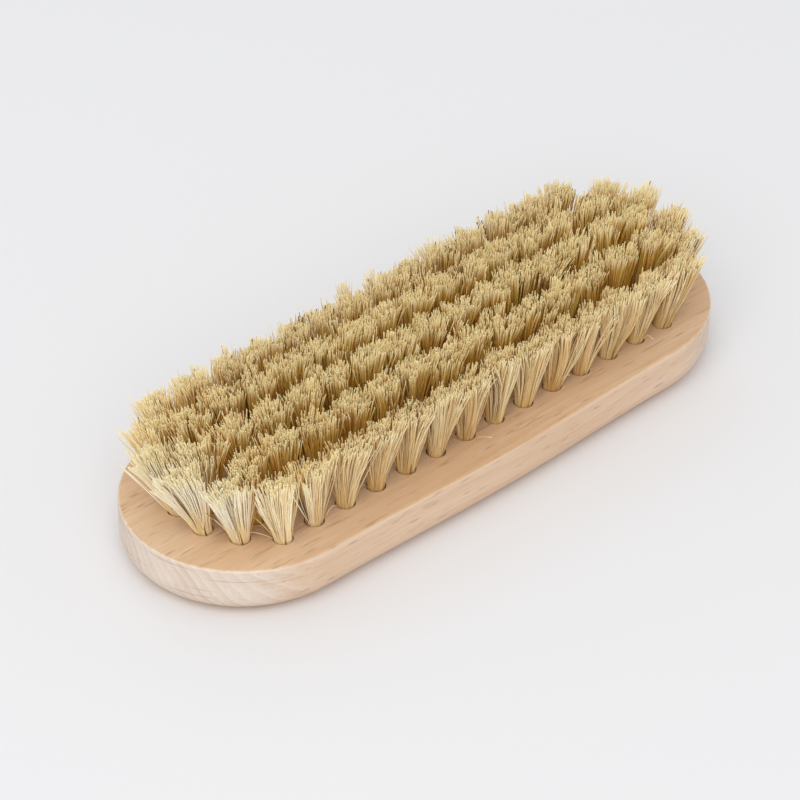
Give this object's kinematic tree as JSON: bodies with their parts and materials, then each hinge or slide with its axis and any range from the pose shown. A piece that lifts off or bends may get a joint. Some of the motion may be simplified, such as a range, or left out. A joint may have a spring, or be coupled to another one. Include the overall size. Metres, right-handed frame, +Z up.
{
  "type": "hat brush",
  "caption": "Hat brush with a long oval beech block, flat back and rows of splayed natural bristle tufts ringed round both ends.",
  "frame": {"origin": "middle of the flat back, which the brush rests on", "axes": "+X along the block, +Y across it, +Z up from the back towards the bristle tips"},
  "size_m": [0.142, 0.05, 0.029],
  "materials": {
    "beech": "sanded, unvarnished",
    "bristle": "matt natural bristle"
  },
  "bodies": {
    "root": {"block": "beech", "tufts_left_end_1": "bristle", "tufts_left_end_2": "bristle", "tufts_right_end_1": "bristle", "tufts_right_end_2": "bristle", "tufts_row_1_1": "bristle", "tufts_row_1_2": "bristle", "tufts_row_1_3": "bristle", "tufts_row_1_4": "bristle", "tufts_row_1_5": "bristle", "tufts_row_1_6": "bristle", "tufts_row_1_7": "bristle", "tufts_row_2_1": "bristle", "tufts_row_2_2": "bristle", "tufts_row_2_3": "bristle", "tufts_row_2_4": "bristle", "tufts_row_2_5": "bristle", "tufts_row_2_6": "bristle", "tufts_row_2_7": "bristle", "tufts_row_3_1": "bristle", "tufts_row_3_2": "bristle", "tufts_row_3_3": "bristle", "tufts_row_3_4": "bristle", "tufts_row_3_5": "bristle", "tufts_row_3_6": "bristle", "tufts_row_3_7": "bristle", "tufts_row_3_8": "bristle", "tufts_row_4_1": "bristle", "tufts_row_4_2": "bristle", "tufts_row_4_3": "bristle", "tufts_row_4_4": "bristle", "tufts_row_4_5": "bristle", "tufts_row_4_6": "bristle", "tufts_row_4_7": "bristle", "tufts_row_5_1": "bristle", "tufts_row_5_2": "bristle", "tufts_row_5_3": "bristle", "tufts_row_5_4": "bristle", "tufts_row_5_5": "bristle", "tufts_row_5_6": "bristle", "tufts_row_5_7": "bristle"}
  },
  "joints": []
}
